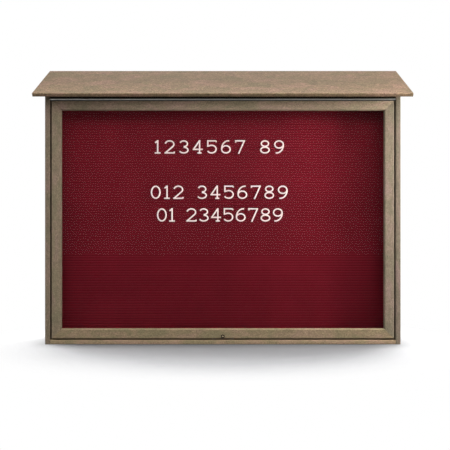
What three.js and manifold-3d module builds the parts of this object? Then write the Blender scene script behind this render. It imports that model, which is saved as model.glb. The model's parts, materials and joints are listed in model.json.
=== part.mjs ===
// A lockable outdoor notice board: a cabinet of plastic lumber under a sloping roof board, with a
// top-hinged glazed door, a cam lock, two hold-open props and a grooved letterboard inside.
// Sizes are millimetres. +X is the reader's right, +Y goes into the cabinet, +Z is up.

import * as THREE from "three";
import { mergeVertices } from "three/addons/utils/BufferGeometryUtils.js";
import Module from "manifold-3d";

const wasm = await Module();
wasm.setup();

// Cabinet
const cabinetWidth = 1263;
const cabinetDepth = 140;
const boardThickness = 18;
const sillThickness = 15;
const panelThickness = 12.7;
const seatGap = 0.3;
const edgeEase = 2.5;
const backEase = 1;
const headBoardDepth = 38;
const headBoardFront = 30.1;
const cleatDepth = 30;
const cleatHeight = 22;

// Roof
const roofSideOverhang = 24.5;
const roofThickness = 12.7;
const roofOverhang = 64;
const roofSlope = THREE.MathUtils.degToRad(33.2);
const roofEdgeEase = 2;

// Door
const doorHeight = 845;
const doorThickness = 19;
const doorGap = 5.5;
const railWidth = 35;
const windowChamfer = 4;
const frameLip = 10;
const rabbetWidth = 10;
const mitreGap = 0.3;
const paneThickness = 4.7;
const paneEdgeGap = 1;
const beadProud = 2;
const beadSetback = 3.5;
const beadBevel = 1.5;
const cornerPlateThickness = 1.5;
const cornerPlateWidth = 12;
const cornerPlateLeg = 80;
const cornerPlateClearance = 0.7;

// Door stops and seals
const stopSize = 12;
const topStopHeight = 18.7;
const sealThickness = 2.7;
const sealWidth = 10;
const sealInset = 1;
const lockwayHalf = 45;

// Piano hinge
const barrelRadius = 3.1;
const knuckleBore = 1.65;
const pinRadius = 1.5;
const leafThickness = 1.2;
const leafWidth = 16;
const barrelProud = 1;
const knuckleCount = 25;
const knuckleGap = 0.5;
const knuckleClearance = 0.6;
const hingeEndGap = 0.6;
const pinEndInset = 0.5;

// Lock
const lockAboveDoorBottom = 8;
const lockHeadRadius = 6.6;
const lockHeadHeight = 1.9;
const lockHeadBevel = 0.7;
const lockBarrelRadius = 5.5;
const lockBoreRadius = 4.2;
const plugRadius = 4.1;
const plugRecess = 0.4;
const plugNeckRadius = 3;
const keySlotWidth = 1.2;
const keySlotLength = 5.6;
const keySlotDepth = 3;
const nutRadius = 8;
const nutThickness = 3;
const nutSides = 6;
const camThickness = 2.2;
const camWidth = 12;
const camReach = 24;
const camEnd = 6;
const camCornerEase = 3;
const camGap = 0.6;
const camHoleRadius = 3.3;
const camScrewRadius = 1.6;
const camScrewHoleRadius = 1.9;
const camScrewHoleDepth = 10;
const camScrewHeadRadius = 4.2;
const camScrewHeadHeight = 2.2;
const screwSlotWidth = 1;
const screwSlotDepth = 0.8;

// Mortise and strike plate in the sill
const mortiseHalf = 25;
const mortiseWidth = 7;
const mortiseDepth = 12;
const strikeThickness = 1;
const strikeHalf = 40;
const strikeDepth = 14;

// Letterboard
const letterboardSetback = 76;
const letterboardThickness = 6.4;
const letterboardSideGap = 1.5;
const letterboardFootGap = 1.5;
const letterboardHeadGap = 16.5;
const groovePitch = 9.27;
const grooveWidth = 2.4;
const grooveDepth = 3;
const backingThickness = 6;
const battenWidth = 38;
const battenSpacing = 400;

// Hold-open props
const pivotDrop = 300;
const pivotSetback = 48;
const propHoldDegrees = 81.3;
const armThickness = 4;
const armWidth = 16;
const armPivotHoleRadius = 3.15;
const spacerLength = 17.9;
const spacerRadius = 7;
const boltRadius = 3;
const boltHeadRadius = 7;
const boltHeadHeight = 4;
const boltHeadBevel = 1;
const boltDepthInWall = 12;
const boltTipGap = 0.5;
const pegRadius = 3;
const pegLength = 6.5;
const catchDrop = 250;
const catchStandoff = 18;
const catchSideGap = 2;
const catchThickness = 3;
const catchPlateThickness = 2;
const catchPlateWidth = 14.2;
const catchPlateHeight = 42;
const catchSeatRadius = 3.3;
const catchLipWidth = 3.6;
const catchUpperWall = 4;

// Wall screws
const screwShankRadius = 2.2;
const screwHoleRadius = 2.5;
const screwBite = 14;
const screwHeadRadius = 4.6;
const screwHeadHeight = 2.6;
const screwTipGap = 0.5;
const screwAboveHeadBoard = 12;
const screwHeadFlankShare = 1 / 3;
const screwHeadFlatShare = 1 / 2;
const sillScrewShares = [0.25, 0.75];

// How round things are cut, and how far a cutter reaches past what it cuts
const easeSteps = 2;
const roundSegments = 24;
const smallSegments = 12;
const notchSteps = 6;
const cutOverrun = 2;

// Places worked out from the sizes above
const outerHalf = cabinetWidth / 2;
const roofHalf = outerHalf + roofSideOverhang;
const innerHalf = outerHalf - boardThickness;
const sideDepth = cabinetDepth - panelThickness - seatGap;
const doorHalf = innerHalf - doorGap;
const doorBottom = sillThickness + doorGap;
const doorTop = doorBottom + doorHeight;
const hingeY = -barrelProud;
const hingeZ = doorTop + seatGap + barrelRadius;
const hingeHalf = innerHalf - hingeEndGap;
const headBoardBottom = hingeZ + barrelRadius + seatGap;
const backPanelFront = cabinetDepth - panelThickness;
const stopFront = doorThickness + seatGap + sealThickness + seatGap;
const stopOuter = innerHalf - seatGap;
const stopInner = stopOuter - stopSize;
const stopUnderside = headBoardBottom - seatGap - topStopHeight;
const stopTopOfSill = sillThickness + seatGap + stopSize;
const lockZ = doorBottom + lockAboveDoorBottom;
const nutBack = doorThickness + seatGap + nutThickness;
const camFront = nutBack + camGap;
const camBack = camFront + camThickness;
const mortiseMiddle = camFront + camThickness / 2;
const pivotZ = hingeZ - pivotDrop;
const armOuter = innerHalf - seatGap - spacerLength - seatGap;
const armInner = armOuter - armThickness;
const catchOuter = armInner - catchSideGap;
const catchInner = catchOuter - catchThickness;

function roofUnderside(y) {
  return headBoardBottom + headBoardFront + seatGap + y * Math.tan(roofSlope);
}

function roofTop(y) {
  return roofUnderside(y) + roofThickness / Math.cos(roofSlope);
}

// Materials
function finish(color, roughness, metalness = 0) {
  return new THREE.MeshStandardMaterial({ color, roughness, metalness });
}

const lumber = finish(0x8d7a66, 0.75);
const clearSheet = new THREE.MeshStandardMaterial({
  color: 0xf2f6f7,
  roughness: 0.08,
  metalness: 0,
  transparent: true,
  opacity: 0.35,
});
const felt = finish(0x63202a, 0.95);
const plywood = finish(0xb08a5e, 0.8);
const hingeMetal = finish(0x9c9c95, 0.4, 0.9);
const steel = finish(0xa9abad, 0.35, 1);
const lockMetal = finish(0xc4c5c7, 0.2, 1);
const foam = finish(0x1d1d1e, 0.95);

// Turns an outline of [a, b, ease] corners into a shape, with an arc at each corner that has an ease.
function easedShape(corners) {
  const points = [];
  corners.forEach(([a, b, ease = 0], i) => {
    const corner = new THREE.Vector2(a, b);
    if (ease === 0) {
      points.push(corner);
      return;
    }
    const before = corners[(i + corners.length - 1) % corners.length];
    const after = corners[(i + 1) % corners.length];
    const toBefore = new THREE.Vector2(before[0], before[1]).sub(corner).normalize();
    const toAfter = new THREE.Vector2(after[0], after[1]).sub(corner).normalize();
    const half = Math.acos(toBefore.dot(toAfter)) / 2;
    const middle = toBefore.clone().add(toAfter).normalize();
    const centre = corner.clone().addScaledVector(middle, ease / Math.sin(half));
    const start = corner.clone().addScaledVector(toBefore, ease / Math.tan(half)).sub(centre);
    const turn = (Math.PI - 2 * half) * Math.sign(toBefore.cross(toAfter)) * -1;
    for (let step = 0; step <= easeSteps; step += 1) {
      const spoke = start.clone().rotateAround(new THREE.Vector2(), (turn * step) / easeSteps);
      points.push(spoke.add(centre));
    }
  });
  return new THREE.Shape(points);
}

function prism(shape, length) {
  return new THREE.ExtrudeGeometry(shape, { depth: length, bevelEnabled: false, steps: 1 });
}

const alongXBasis = new THREE.Matrix4().makeBasis(
  new THREE.Vector3(0, 1, 0),
  new THREE.Vector3(0, 0, 1),
  new THREE.Vector3(1, 0, 0),
);

// A bar along X between two places. Its outline is drawn in (y, z).
function barAlongX(shape, from, to) {
  const low = Math.min(from, to);
  const bar = prism(shape, Math.abs(to - from));
  return bar.applyMatrix4(alongXBasis).translate(low, 0, 0);
}

// A plate that faces -Y. Its outline is drawn in (x, z), and it runs from front to back.
function plateAlongY(shape, front, back) {
  return prism(shape, back - front).rotateX(Math.PI / 2).translate(0, back, 0);
}

function box(low, high) {
  const size = high.map((value, axis) => value - low[axis]);
  const middle = high.map((value, axis) => (value + low[axis]) / 2);
  return new THREE.BoxGeometry(...size).translate(...middle);
}

function rod(radius, from, to, segments = smallSegments) {
  return new THREE.CylinderGeometry(radius, radius, to - from, segments).translate(0, (from + to) / 2, 0);
}

// A rod along X, centred on (y, z).
function rodAlongX(radius, from, to, y, z, segments = smallSegments) {
  return rod(radius, Math.min(from, to), Math.max(from, to), segments)
    .rotateZ(-Math.PI / 2)
    .translate(0, y, z);
}

function turned(profile, segments = roundSegments) {
  const points = profile.map(([radius, height]) => new THREE.Vector2(radius, height));
  return new THREE.LatheGeometry(points, segments);
}

// Booleans
function solidOf(geometry) {
  const bare = geometry.clone();
  bare.deleteAttribute("normal");
  bare.deleteAttribute("uv");
  const merged = mergeVertices(bare);
  const corners = [];
  for (let i = 0; i < merged.index.count; i += 3) {
    const triangle = [merged.index.getX(i), merged.index.getX(i + 1), merged.index.getX(i + 2)];
    if (new Set(triangle).size === 3) corners.push(...triangle);
  }
  const vertProperties = new Float32Array(merged.attributes.position.array);
  const triVerts = new Uint32Array(corners);
  return new wasm.Manifold(new wasm.Mesh({ numProp: 3, vertProperties, triVerts }));
}

function geometryOf(solid) {
  const mesh = solid.getMesh();
  const geometry = new THREE.BufferGeometry();
  geometry.setAttribute("position", new THREE.BufferAttribute(new Float32Array(mesh.vertProperties), 3));
  geometry.setIndex(new THREE.BufferAttribute(new Uint32Array(mesh.triVerts), 1));
  geometry.computeVertexNormals();
  return geometry;
}

function cut(body, ...cutters) {
  return geometryOf(cutters.reduce((solid, cutter) => solid.subtract(solidOf(cutter)), solidOf(body)));
}

function join(body, ...others) {
  return geometryOf(others.reduce((solid, other) => solid.add(solidOf(other)), solidOf(body)));
}

function trim(body, keeper) {
  return geometryOf(solidOf(body).intersect(solidOf(keeper)));
}

function addPiece(group, name, geometry, material) {
  const piece = new THREE.Mesh(geometry, material);
  piece.name = name;
  group.add(piece);
  return piece;
}

const sides = [
  ["left", -1],
  ["right", 1],
];

// Where the wall screws go in: [piece, y, z]
const screwPlaces = [
  ["sill_front", sideDepth * sillScrewShares[0], sillThickness / 2],
  ["sill_rear", sideDepth * sillScrewShares[1], sillThickness / 2],
  ["head", headBoardDepth / 2, headBoardBottom + screwAboveHeadBoard],
  ["cleat", sideDepth - cleatDepth / 2, roofUnderside(sideDepth - cleatDepth) - cleatHeight / 2],
];

// Blind holes for the wall screws in the two ends of a board between the walls.
function screwHoles(prefix) {
  const places = screwPlaces.filter(([name]) => name.startsWith(prefix));
  return places.flatMap(([, y, z]) =>
    sides.map(([, side]) =>
      rodAlongX(screwHoleRadius, side * (innerHalf - screwBite), side * (innerHalf + cutOverrun), y, z),
    ),
  );
}

function sideWall(side) {
  const across = [innerHalf, outerHalf].map((x) => side * x).sort((a, b) => a - b);
  const height = roofTop(sideDepth);
  const post = prism(
    easedShape([
      [across[0], 0, edgeEase],
      [across[1], 0, edgeEase],
      [across[1], sideDepth],
      [across[0], sideDepth],
    ]),
    height,
  );
  const profile = easedShape([
    [-cutOverrun, 0],
    [sideDepth + cutOverrun, 0],
    [sideDepth + cutOverrun, roofUnderside(sideDepth + cutOverrun) - seatGap],
    [-cutOverrun, roofUnderside(-cutOverrun) - seatGap],
  ]);
  const keeper = barAlongX(profile, across[0] - cutOverrun, across[1] + cutOverrun);
  const holes = screwPlaces.map(([, y, z]) =>
    rodAlongX(screwHoleRadius, side * (innerHalf - cutOverrun), side * (outerHalf + cutOverrun), y, z),
  );
  const boltHole = rodAlongX(
    boltRadius + seatGap,
    side * (innerHalf - cutOverrun),
    side * (innerHalf + boltDepthInWall),
    pivotSetback,
    pivotZ,
  );
  return cut(trim(post, keeper), ...holes, boltHole);
}

function wallScrew(side, y, z) {
  const tip = -(boardThickness + screwBite - screwTipGap);
  const screw = turned(
    [
      [0, tip],
      [screwShankRadius, tip + screwShankRadius],
      [screwShankRadius, seatGap],
      [screwHeadRadius, seatGap],
      [screwHeadRadius, seatGap + screwHeadHeight * screwHeadFlankShare],
      [screwHeadRadius * screwHeadFlatShare, seatGap + screwHeadHeight],
      [0, seatGap + screwHeadHeight],
    ],
    smallSegments,
  );
  return screw.rotateZ((-side * Math.PI) / 2).translate(side * outerHalf, y, z);
}

function cabinetBoards() {
  const boards = new THREE.Group();
  sides.forEach(([word, side]) => addPiece(boards, `side_wall_${word}`, sideWall(side), lumber));

  const boardHalf = innerHalf - seatGap;
  const sillShape = easedShape([
    [0, 0, edgeEase],
    [sideDepth, 0],
    [sideDepth, sillThickness],
    [0, sillThickness, edgeEase],
  ]);
  const mortise = box(
    [-mortiseHalf, mortiseMiddle - mortiseWidth / 2, sillThickness - mortiseDepth],
    [mortiseHalf, mortiseMiddle + mortiseWidth / 2, sillThickness + cutOverrun],
  );
  const sill = cut(barAlongX(sillShape, -boardHalf, boardHalf), mortise, ...screwHoles("sill"));
  addPiece(boards, "sill_board", sill, lumber);

  const headShape = easedShape([
    [0, headBoardBottom, edgeEase],
    [headBoardDepth, headBoardBottom],
    [headBoardDepth, roofUnderside(headBoardDepth) - seatGap],
    [0, roofUnderside(0) - seatGap],
  ]);
  const head = cut(barAlongX(headShape, -boardHalf, boardHalf), ...screwHoles("head"));
  addPiece(boards, "head_board", head, lumber);

  const cleatFront = sideDepth - cleatDepth;
  const cleatTop = roofUnderside(cleatFront) - seatGap;
  const cleatShape = easedShape([
    [cleatFront, cleatTop - cleatHeight],
    [sideDepth, cleatTop - cleatHeight],
    [sideDepth, roofUnderside(sideDepth) - seatGap],
    [cleatFront, cleatTop],
  ]);
  const cleat = cut(barAlongX(cleatShape, -boardHalf, boardHalf), ...screwHoles("cleat"));
  addPiece(boards, "roof_cleat", cleat, lumber);

  const backShape = easedShape([
    [backPanelFront, 0],
    [cabinetDepth, 0],
    [cabinetDepth, roofUnderside(cabinetDepth) - seatGap],
    [backPanelFront, roofUnderside(backPanelFront) - seatGap],
  ]);
  addPiece(boards, "back_panel", barAlongX(backShape, -outerHalf, outerHalf), lumber);

  const eaveTop = roofTop(-roofOverhang);
  const eaveSetback = roofThickness * Math.sin(roofSlope);
  const roofShape = easedShape([
    [-roofOverhang, eaveTop, roofEdgeEase],
    [-roofOverhang + eaveSetback, eaveTop - roofThickness * Math.cos(roofSlope), roofEdgeEase],
    [cabinetDepth, roofUnderside(cabinetDepth)],
    [cabinetDepth, roofTop(cabinetDepth), roofEdgeEase],
  ]);
  addPiece(boards, "roof_board", barAlongX(roofShape, -roofHalf, roofHalf), lumber);

  sides.forEach(([word, side]) =>
    screwPlaces.forEach(([place, y, z]) =>
      addPiece(boards, `wall_screw_${place}_${word}`, wallScrew(side, y, z), steel),
    ),
  );
  return boards;
}

function stopsAndSeals() {
  const group = new THREE.Group();
  const stopBack = stopFront + stopSize;
  const sealFront = doorThickness + seatGap;
  const sealBack = sealFront + sealThickness;
  const sillTop = sillThickness + seatGap;
  const stopTop = headBoardBottom - seatGap;

  sides.forEach(([word, side]) => {
    const stopX = [side * stopInner, side * stopOuter].sort((a, b) => a - b);
    const sealX = [side * (stopInner + sealInset), side * (stopInner + sealInset + sealWidth)];
    sealX.sort((a, b) => a - b);
    const sideStop = box([stopX[0], stopFront, sillTop], [stopX[1], stopBack, stopTop]);
    addPiece(group, `stop_${word}`, sideStop, lumber);
    const sealLow = stopTopOfSill + seatGap;
    const sealHigh = stopUnderside - seatGap;
    const sideSeal = box([sealX[0], sealFront, sealLow], [sealX[1], sealBack, sealHigh]);
    addPiece(group, `seal_${word}`, sideSeal, foam);

    const bottomX = [side * lockwayHalf, side * (stopInner - seatGap)].sort((a, b) => a - b);
    const bottomStop = box([bottomX[0], stopFront, sillTop], [bottomX[1], stopBack, stopTopOfSill]);
    addPiece(group, `stop_bottom_${word}`, bottomStop, lumber);
    const sealFoot = doorBottom + sealInset;
    const bottomSeal = box(
      [bottomX[0], sealFront, sealFoot],
      [bottomX[1], sealBack, stopTopOfSill - sealInset],
    );
    addPiece(group, `seal_bottom_${word}`, bottomSeal, foam);
  });

  const topHalf = stopInner - seatGap;
  const topStop = box([-topHalf, stopFront, stopUnderside], [topHalf, stopBack, stopTop]);
  addPiece(group, "stop_top", topStop, lumber);
  const topSealLow = stopUnderside + sealInset;
  const topSeal = box([-topHalf, sealFront, topSealLow], [topHalf, sealBack, topSealLow + sealWidth]);
  addPiece(group, "seal_top", topSeal, foam);
  return group;
}

// One leaf of the piano hinge, drawn about the pin's axis. Facing is 1 for the cabinet's leaf above
// the pin and -1 for the door's leaf below it, and first is the index of its first knuckle.
function hingeLeaf(facing, first) {
  const pitch = (2 * hingeHalf) / knuckleCount;
  const slotBack = barrelRadius + knuckleClearance;
  const outline = [
    [hingeHalf, leafWidth],
    [-hingeHalf, leafWidth],
  ];
  const tubes = [];
  for (let i = 0; i < knuckleCount; i += 1) {
    const from = -hingeHalf + i * pitch + knuckleGap / 2;
    const to = -hingeHalf + (i + 1) * pitch - knuckleGap / 2;
    const isOwn = i % 2 === first;
    const front = isOwn ? 0 : slotBack;
    const left = i === 0 ? -hingeHalf : isOwn ? from : from - knuckleGap;
    const right = i === knuckleCount - 1 ? hingeHalf : isOwn ? to : to + knuckleGap;
    outline.push([left, front], [right, front]);
    if (isOwn) {
      const tube = turned(
        [
          [knuckleBore, 0],
          [barrelRadius, 0],
          [barrelRadius, to - from],
          [knuckleBore, to - from],
          [knuckleBore, 0],
        ],
        smallSegments,
      );
      tubes.push(tube.rotateZ(-Math.PI / 2).translate(from, 0, 0));
    }
  }
  const low = facing > 0 ? barrelRadius - leafThickness : -barrelRadius;
  const plate = prism(easedShape(outline), leafThickness).translate(0, 0, low);
  return join(plate, ...tubes);
}

function pianoHinge() {
  const cabinetSide = new THREE.Group();
  addPiece(cabinetSide, "hinge_leaf_cabinet", hingeLeaf(1, 0), hingeMetal);
  const pin = rod(pinRadius, -hingeHalf + pinEndInset, hingeHalf - pinEndInset).rotateZ(Math.PI / 2);
  addPiece(cabinetSide, "hinge_pin", pin, steel);
  const doorSide = new THREE.Group();
  addPiece(doorSide, "hinge_leaf_door", hingeLeaf(-1, 1), hingeMetal);
  [cabinetSide, doorSide].forEach((group) => group.position.set(0, hingeY, hingeZ));
  return [cabinetSide, doorSide];
}

// A length of the door frame's section, mitred at both ends. The section is drawn in (u, v): u from
// the door's outer edge inwards, v from its front face back. The length runs along w.
function mitred(section, length) {
  const member = prism(section, length);
  const places = member.attributes.position;
  const inset = mitreGap / Math.SQRT2;
  for (let i = 0; i < places.count; i += 1) {
    const fromOuterEdge = places.getX(i) + inset;
    const along = places.getZ(i) < length / 2 ? fromOuterEdge : length - fromOuterEdge;
    places.setZ(i, along);
  }
  member.computeVertexNormals();
  return member;
}

const doorMembers = {
  rail_top: { u: [0, 0, -1], w: [1, 0, 0], start: [-doorHalf, 0, doorTop], length: 2 * doorHalf },
  rail_bottom: { u: [0, 0, 1], w: [-1, 0, 0], start: [doorHalf, 0, doorBottom], length: 2 * doorHalf },
  stile_left: { u: [1, 0, 0], w: [0, 0, 1], start: [-doorHalf, 0, doorBottom], length: doorHeight },
  stile_right: { u: [-1, 0, 0], w: [0, 0, -1], start: [doorHalf, 0, doorTop], length: doorHeight },
};

function seatMember(piece, member) {
  const inward = new THREE.Vector3(...member.u);
  const back = new THREE.Vector3(0, 1, 0);
  const along = new THREE.Vector3(...member.w);
  piece.quaternion.setFromRotationMatrix(new THREE.Matrix4().makeBasis(inward, back, along));
  piece.position.set(...member.start);
}

function doorFrame() {
  const frame = new THREE.Group();
  const rabbetEdge = railWidth - rabbetWidth;
  const section = easedShape([
    [0, 0, edgeEase],
    [railWidth - windowChamfer, 0],
    [railWidth, windowChamfer],
    [railWidth, frameLip],
    [rabbetEdge, frameLip],
    [rabbetEdge, doorThickness],
    [0, doorThickness, backEase],
  ]);
  const paneBack = frameLip + seatGap + paneThickness;
  const beadOuter = rabbetEdge + seatGap;
  const beadInner = railWidth - beadSetback;
  const beadTop = doorThickness + beadProud;
  const beadSection = easedShape([
    [beadOuter, paneBack + seatGap],
    [beadInner, paneBack + seatGap],
    [beadInner, beadTop - beadBevel],
    [beadInner - beadBevel, beadTop],
    [beadOuter, beadTop],
  ]);
  const beadNames = { rail_top: "top", rail_bottom: "bottom", stile_left: "left", stile_right: "right" };
  Object.entries(doorMembers).forEach(([name, member]) => {
    let timber = mitred(section, member.length);
    if (name === "rail_bottom") {
      const hole = rod(lockBarrelRadius + seatGap, -cutOverrun, doorThickness + cutOverrun, roundSegments);
      timber = cut(timber, hole.translate(lockAboveDoorBottom, 0, member.length / 2));
    }
    seatMember(addPiece(frame, `door_${name}`, timber, lumber), member);
    const bead = mitred(beadSection, member.length);
    seatMember(addPiece(frame, `glazing_bead_${beadNames[name]}`, bead, lumber), member);
  });

  const paneHalf = doorHalf - rabbetEdge - paneEdgeGap;
  const paneLow = doorBottom + rabbetEdge + paneEdgeGap;
  const paneHigh = doorTop - rabbetEdge - paneEdgeGap;
  const paneFront = frameLip + seatGap;
  const pane = box([-paneHalf, paneFront, paneLow], [paneHalf, paneBack, paneHigh]);
  addPiece(frame, "window_pane", pane, clearSheet);
  return frame;
}

function cornerPlates() {
  const plates = new THREE.Group();
  const front = doorThickness + seatGap;
  const ends = [
    ["top", stopUnderside - cornerPlateClearance, -1],
    ["bottom", stopTopOfSill + cornerPlateClearance, 1],
  ];
  sides.forEach(([word, side]) =>
    ends.forEach(([end, edgeZ, inward]) => {
      const x = side * (stopInner - cornerPlateClearance);
      const corner = (across, up) => [x - side * across, edgeZ + inward * up];
      const shape = easedShape([
        corner(0, 0),
        corner(cornerPlateLeg, 0),
        corner(cornerPlateLeg, cornerPlateWidth),
        corner(cornerPlateWidth, cornerPlateWidth),
        corner(cornerPlateWidth, cornerPlateLeg),
        corner(0, cornerPlateLeg),
      ]);
      const plate = plateAlongY(shape, front, front + cornerPlateThickness);
      addPiece(plates, `corner_plate_${end}_${word}`, plate, steel);
    }),
  );
  return plates;
}

function roundHole(x, y, radius, segments) {
  const ring = [];
  for (let i = 0; i < segments; i += 1) {
    const angle = (-2 * Math.PI * i) / segments;
    ring.push(new THREE.Vector2(x + radius * Math.cos(angle), y + radius * Math.sin(angle)));
  }
  return new THREE.Path(ring);
}

// The lock, drawn about its own axis along Y with the door's front face at zero.
function lockFixedParts() {
  const fixed = new THREE.Group();
  const headFront = -seatGap - lockHeadHeight;
  const barrel = turned([
    [lockBoreRadius, headFront],
    [lockHeadRadius - lockHeadBevel, headFront],
    [lockHeadRadius, headFront + lockHeadBevel],
    [lockHeadRadius, -seatGap],
    [lockBarrelRadius, -seatGap],
    [lockBarrelRadius, camFront - seatGap],
    [lockBoreRadius, camFront - seatGap],
    [lockBoreRadius, headFront],
  ]);
  addPiece(fixed, "lock_barrel", barrel, lockMetal);
  const nutHole = rod(lockBarrelRadius + seatGap, -cutOverrun, nutBack + cutOverrun, roundSegments);
  const nut = rod(nutRadius, nutBack - nutThickness, nutBack, nutSides);
  addPiece(fixed, "lock_nut", cut(nut, nutHole), steel);
  fixed.position.z = lockZ;
  return fixed;
}

function lockTurningParts() {
  const turning = new THREE.Group();
  const plugFront = -seatGap - lockHeadHeight + plugRecess;
  const holeEnd = camBack - camScrewHoleDepth;
  const plugBody = turned([
    [0, plugFront],
    [plugRadius, plugFront],
    [plugRadius, camFront - seatGap],
    [plugNeckRadius, camFront - seatGap],
    [plugNeckRadius, camBack],
    [camScrewHoleRadius, camBack],
    [camScrewHoleRadius, holeEnd],
    [0, holeEnd],
  ]);
  const keySlot = box(
    [-keySlotWidth / 2, plugFront - cutOverrun, -keySlotLength / 2],
    [keySlotWidth / 2, plugFront + keySlotDepth, keySlotLength / 2],
  );
  addPiece(turning, "lock_plug", cut(plugBody, keySlot), lockMetal);

  const camShape = easedShape([
    [-camEnd, -camWidth / 2, camCornerEase],
    [camReach, -camWidth / 2, camCornerEase],
    [camReach, camWidth / 2, camCornerEase],
    [-camEnd, camWidth / 2, camCornerEase],
  ]);
  camShape.holes.push(roundHole(0, 0, camHoleRadius, roundSegments));
  addPiece(turning, "lock_cam", plateAlongY(camShape, camFront, camBack), steel);

  const headBase = camBack + seatGap;
  const screwBody = turned([
    [0, holeEnd + seatGap],
    [camScrewRadius, holeEnd + seatGap],
    [camScrewRadius, headBase],
    [camScrewHeadRadius, headBase],
    [camScrewHeadRadius, headBase + camScrewHeadHeight / 2],
    [camScrewHeadRadius * screwHeadFlatShare, headBase + camScrewHeadHeight],
    [0, headBase + camScrewHeadHeight],
  ], smallSegments);
  const driverSlot = box(
    [-camScrewHeadRadius, headBase + camScrewHeadHeight - screwSlotDepth, -screwSlotWidth / 2],
    [camScrewHeadRadius, headBase + camScrewHeadHeight + cutOverrun, screwSlotWidth / 2],
  );
  addPiece(turning, "lock_cam_screw", cut(screwBody, driverSlot), steel);
  turning.position.z = lockZ;
  return turning;
}

function strikePlate() {
  const half = mortiseWidth / 2;
  const shape = easedShape([
    [-strikeHalf, mortiseMiddle - half - (strikeDepth - mortiseWidth) / 2],
    [strikeHalf, mortiseMiddle - half - (strikeDepth - mortiseWidth) / 2],
    [strikeHalf, mortiseMiddle + half + (strikeDepth - mortiseWidth) / 2],
    [-strikeHalf, mortiseMiddle + half + (strikeDepth - mortiseWidth) / 2],
  ]);
  shape.holes.push(
    new THREE.Path([
      new THREE.Vector2(-mortiseHalf, mortiseMiddle - half),
      new THREE.Vector2(-mortiseHalf, mortiseMiddle + half),
      new THREE.Vector2(mortiseHalf, mortiseMiddle + half),
      new THREE.Vector2(mortiseHalf, mortiseMiddle - half),
    ]),
  );
  return prism(shape, strikeThickness).translate(0, 0, sillThickness + seatGap);
}

function letterboard() {
  const group = new THREE.Group();
  const faceFront = letterboardSetback;
  const faceBack = faceFront + letterboardThickness;
  const backingFront = faceBack + seatGap;
  const battenFront = backingFront + backingThickness + seatGap;
  const battenBack = backPanelFront - seatGap;
  const half = innerHalf - letterboardSideGap;
  const low = sillThickness + letterboardFootGap;
  const high = headBoardBottom - letterboardHeadGap;
  const grooveCount = Math.floor((high - low) / groovePitch);
  const firstGroove = low + (high - low - (grooveCount - 1) * groovePitch) / 2;
  const outline = [
    [faceBack, high],
    [faceBack, low],
    [faceFront, low],
  ];
  for (let i = 0; i < grooveCount; i += 1) {
    const bottom = firstGroove + i * groovePitch - grooveWidth / 2;
    outline.push([faceFront, bottom], [faceFront + grooveDepth, bottom]);
    outline.push([faceFront + grooveDepth, bottom + grooveWidth], [faceFront, bottom + grooveWidth]);
  }
  outline.push([faceFront, high]);
  addPiece(group, "letterboard_face", barAlongX(easedShape(outline), -half, half), felt);

  const backing = box([-half, backingFront, low], [half, backingFront + backingThickness, high]);
  addPiece(group, "letterboard_backing", backing, plywood);
  const battenLow = sillThickness + seatGap;
  [["left", -battenSpacing], ["centre", 0], ["right", battenSpacing]].forEach(([word, x]) => {
    const batten = box(
      [x - battenWidth / 2, battenFront, battenLow],
      [x + battenWidth / 2, battenBack, high],
    );
    addPiece(group, `batten_${word}`, batten, lumber);
  });
  return group;
}

// A point of the door, given from the hinge axis, after the door has swung out by this angle.
function swung(point, degrees) {
  const angle = THREE.MathUtils.degToRad(-degrees);
  return point.clone().rotateAround(new THREE.Vector2(), angle);
}

// In (y, z) from the hinge axis: the arm's pivot, and the catch's seat on the closed door.
const pivotPlace = new THREE.Vector2(pivotSetback - hingeY, -pivotDrop);
const seatPlace = new THREE.Vector2(doorThickness + catchStandoff - hingeY, -catchDrop);
const armLength = swung(seatPlace, propHoldDegrees).distanceTo(pivotPlace);

function propArm(side) {
  const across = [side * armInner, side * armOuter];
  const half = armWidth / 2;
  const points = [];
  [
    [0, 0],
    [-armLength, Math.PI],
  ].forEach(([height, from]) => {
    for (let step = 0; step <= notchSteps; step += 1) {
      const angle = from + (Math.PI * step) / notchSteps;
      points.push(new THREE.Vector2(half * Math.cos(angle), height + half * Math.sin(angle)));
    }
  });
  const shape = new THREE.Shape(points);
  shape.holes.push(roundHole(0, 0, armPivotHoleRadius, roundSegments));
  const bar = barAlongX(shape, ...across);
  const pegTip = side * (armInner - pegLength);
  const peg = rodAlongX(pegRadius, pegTip, side * (armInner + armThickness / 2), 0, -armLength);
  return join(bar, peg);
}

function propBolt(side) {
  const headInner = armInner - seatGap - boltHeadHeight;
  const bolt = turned(
    [
      [0, headInner],
      [boltHeadRadius - boltHeadBevel, headInner],
      [boltHeadRadius, headInner + boltHeadBevel],
      [boltHeadRadius, headInner + boltHeadHeight],
      [boltRadius, headInner + boltHeadHeight],
      [boltRadius, innerHalf + boltDepthInWall - boltTipGap],
      [0, innerHalf + boltDepthInWall - boltTipGap],
    ],
    smallSegments,
  );
  return bolt.rotateZ((-side * Math.PI) / 2);
}

function propSpacer(side) {
  const from = armOuter + seatGap;
  const ring = turned(
    [
      [boltRadius + seatGap, from],
      [spacerRadius, from],
      [spacerRadius, from + spacerLength],
      [boltRadius + seatGap, from + spacerLength],
      [boltRadius + seatGap, from],
    ],
    smallSegments,
  );
  return ring.rotateZ((-side * Math.PI) / 2);
}

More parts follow.
